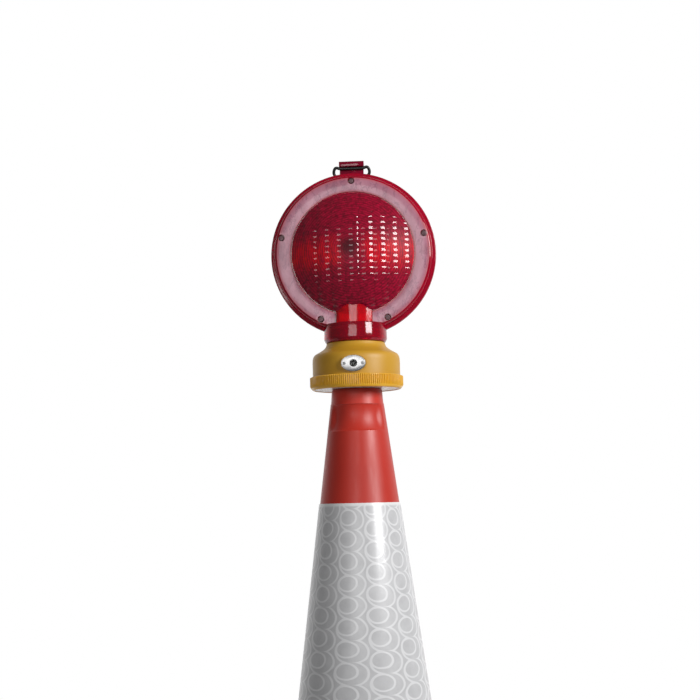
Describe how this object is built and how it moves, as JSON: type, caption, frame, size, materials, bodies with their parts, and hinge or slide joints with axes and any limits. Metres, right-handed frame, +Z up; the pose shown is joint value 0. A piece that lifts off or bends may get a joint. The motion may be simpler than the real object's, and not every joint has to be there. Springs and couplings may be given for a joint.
{
  "type": "traffic cone with warning lamp",
  "caption": "Tapered road cone on a square rubber base, with a reflective sleeve and a round two-way red battery lamp that swivels on its top.",
  "frame": {"origin": "middle of the base's underside, on the ground", "axes": "+Z up the cone, -Y the way the front lens and the photocell face, +X to their right seen from the front"},
  "size_m": [0.42, 0.42, 1.166],
  "materials": {
    "cone_plastic": "satin red cone plastic, scuffed",
    "base_rubber": "coarse black recycled rubber",
    "reflective_film": "pale grey reflective film with a printed ring pattern",
    "case_yellow": "satin amber-yellow plastic",
    "plate_pale": "pale grey plastic",
    "lens_red": "clear dark red plastic, prismatic inside",
    "reflector_lilac": "marbled lilac reflective ring",
    "black_plastic": "plain black plastic",
    "seal_rubber": "black rubber",
    "bright_metal": "polished",
    "screw_steel": "zinc plated",
    "lens_screw": "dull dark zinc",
    "black_wire": "black coated wire",
    "brass": "plain",
    "cell_jacket": "printed steel jacket, left plain",
    "board_green": "green laminate",
    "sensor_dark": "dark photocell",
    "clear_window": "clear window",
    "led_clear": "clear epoxy"
  },
  "bodies": {
    "cone": {"cone_body": "cone_plastic", "cone_base": "base_rubber", "reflective_sleeve": "reflective_film"},
    "lamp_base": {"battery_case": "case_yellow", "bottom_plate": "plate_pale", "case_gasket": "seal_rubber", "neck_seal": "seal_rubber", "cone_plug": "black_plastic", "battery_tray": "black_plastic", "control_board": "board_green", "flasher_chip": "black_plastic", "capacitor": "black_plastic", "mode_switch": "screw_steel", "photocell_bezel": "bright_metal", "photocell_window": "clear_window", "photocell": "sensor_dark", "battery_1": "cell_jacket", "contact_spring_1": "screw_steel", "contact_plate_1": "brass", "plug_screw_1": "screw_steel", "bezel_screw_1": "screw_steel", "battery_2": "cell_jacket", "contact_spring_2": "screw_steel", "contact_plate_2": "brass", "plug_screw_2": "screw_steel", "bezel_screw_2": "screw_steel", "board_screw_1": "screw_steel", "board_screw_2": "screw_steel", "board_screw_3": "screw_steel"},
    "locking_ring": {"locking_ring": "case_yellow"},
    "mode_slider": {"mode_slider": "black_plastic"},
    "head": {"front_lens": "lens_red", "rear_lens": "lens_red", "lens_gasket": "seal_rubber", "front_reflector": "reflector_lilac", "rear_reflector": "reflector_lilac", "led_post": "black_plastic", "led_board": "board_green", "led_front": "led_clear", "led_rear": "led_clear", "lamp_cable": "black_plastic", "lens_screw_1": "lens_screw", "lens_screw_2": "lens_screw", "lens_screw_3": "lens_screw", "lens_screw_4": "lens_screw", "lens_screw_5": "lens_screw"},
    "bail": {"wire_bail": "black_wire"}
  },
  "joints": [
    {"name": "lamp_lift", "type": "slide", "parent": "cone", "child": "lamp_base", "axis": [0, 0, 1], "range_m": [0, 0.07]},
    {"name": "ring_turn", "type": "hinge", "parent": "lamp_base", "child": "locking_ring", "pos_m": [0, 0, 0.9017], "axis": [0, 0, 1], "range_deg": [0, 40]},
    {"name": "mode_slide", "type": "slide", "parent": "lamp_base", "child": "mode_slider", "axis": [1, 0, 0], "range_m": [-0.0025, 0.0025]},
    {"name": "head_swivel", "type": "hinge", "parent": "lamp_base", "child": "head", "pos_m": [0, 0, 1.056], "axis": [0, 0, 1], "range_deg": [-175, 175]},
    {"name": "bail_swing", "type": "hinge", "parent": "head", "child": "bail", "pos_m": [0, 0.0075, 1.148], "axis": [1, 0, 0], "range_deg": [0, 36]}
  ]
}
